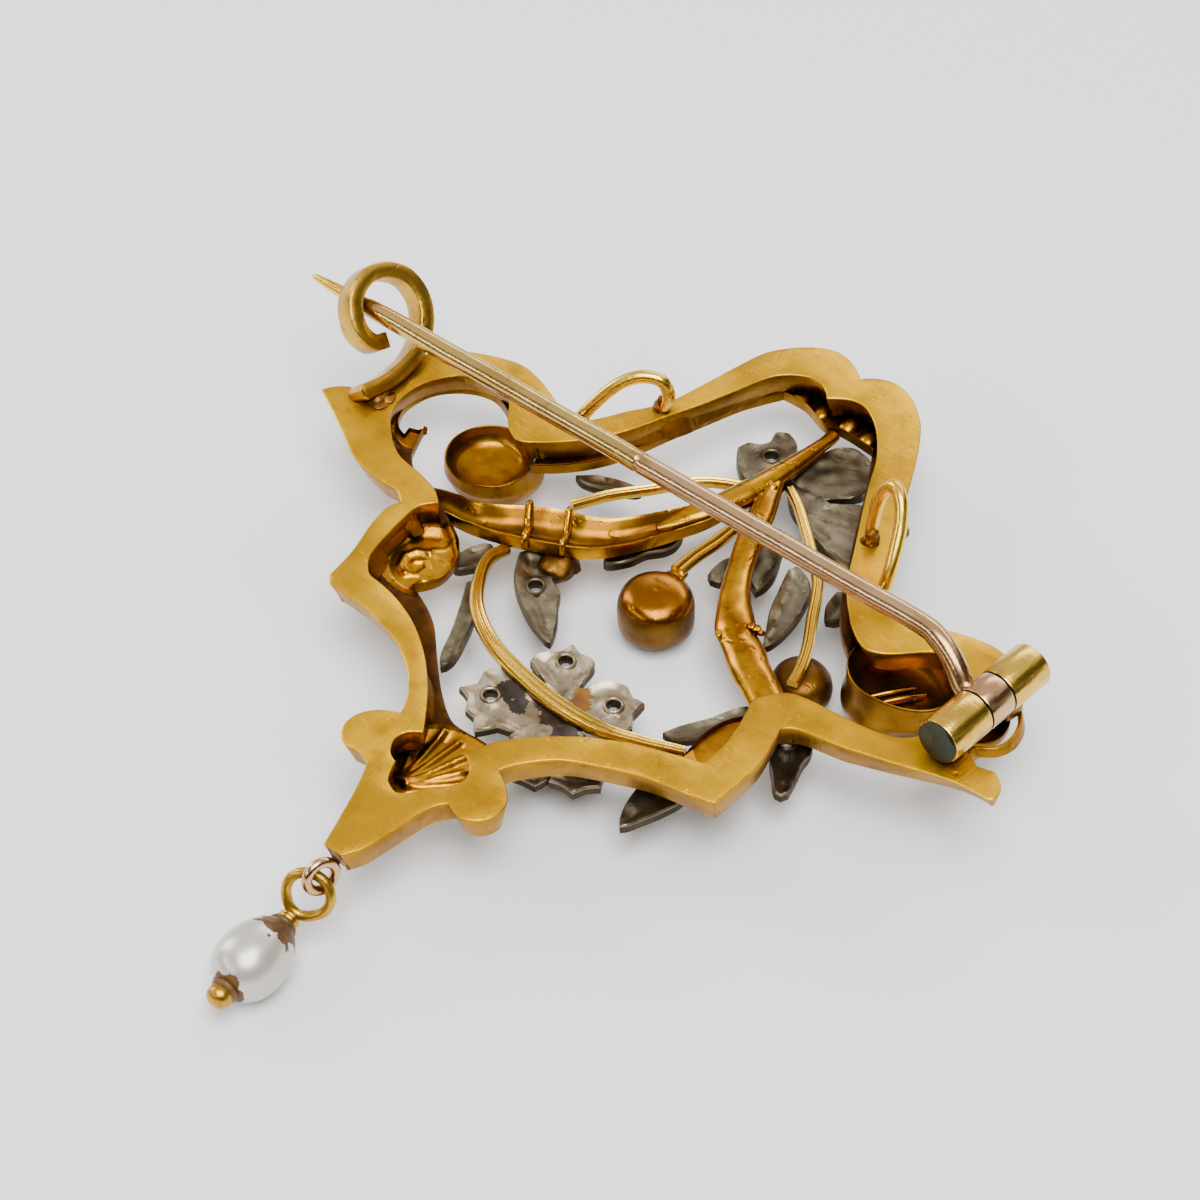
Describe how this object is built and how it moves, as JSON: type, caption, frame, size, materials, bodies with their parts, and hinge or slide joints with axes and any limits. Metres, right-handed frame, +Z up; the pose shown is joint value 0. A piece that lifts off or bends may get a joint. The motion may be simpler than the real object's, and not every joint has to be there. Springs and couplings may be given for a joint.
{
  "type": "pendant brooch",
  "caption": "Openwork scroll brooch, face down with its flat back up: hinged pin, C-shaped catch, two chain loops, floral spray inside and a small pearl drop.",
  "frame": {"origin": "middle of the bounding box on the surface the brooch lies on, under its front", "axes": "+X from the catch's wing to the hinge's wing, +Y from the drop to the notch at the top, +Z up from the surface to the flat back and the pin"},
  "size_m": [0.0362, 0.0384, 0.0073],
  "materials": {
    "frame_gold": "matte yellow gold with darker hollows",
    "bright_gold": "soft polished yellow gold",
    "catch_gold": "brownish worn gold",
    "branch_gold": "brown and orange tinted gold",
    "rose_gold": "soft polished pinkish gold",
    "dark_steel": "dark, slightly green",
    "silver": "dark tarnished silver",
    "stone": "clear cut stone",
    "pearl": "soft pearl lustre"
  },
  "bodies": {
    "frame": {"frame": "frame_gold", "catch": "catch_gold", "chain_loop_left": "bright_gold", "chain_loop_right": "bright_gold", "hinge_knuckle_near": "bright_gold", "hinge_knuckle_far": "bright_gold", "hinge_rivet": "dark_steel", "branch": "branch_gold", "arch_wire_left": "branch_gold", "arch_wire_right": "branch_gold", "garland_wire": "branch_gold", "cup_stem": "branch_gold", "centre_cup": "branch_gold", "side_cup": "branch_gold", "collet_left": "branch_gold", "collet_right": "branch_gold", "stone_left": "stone", "stone_right": "stone", "stone_centre": "stone", "stone_side": "stone", "flower_low": "silver", "flower_high": "silver", "leaf_a": "silver", "leaf_b": "silver", "leaf_c": "silver", "leaf_d": "silver", "leaf_e": "silver", "leaf_f": "silver", "leaf_g": "silver", "leaf_h": "silver", "leaf_j": "silver", "leaf_k": "silver", "leaf_m": "silver", "small_stone_1": "stone", "small_stone_2": "stone", "small_stone_3": "stone", "small_stone_4": "stone", "small_stone_5": "stone", "small_stone_6": "stone", "small_stone_7": "stone", "drop_ring": "bright_gold", "drop_loop": "bright_gold", "pearl": "pearl", "pearl_peg": "bright_gold"},
    "pin": {"pin_stem": "rose_gold"}
  },
  "joints": [
    {"name": "pin_swing", "type": "hinge", "parent": "frame", "child": "pin", "pos_m": [0.01558, 0.00662, 0.0049], "axis": [0.0872, 0.9962, 0], "range_deg": [0, 105]}
  ]
}
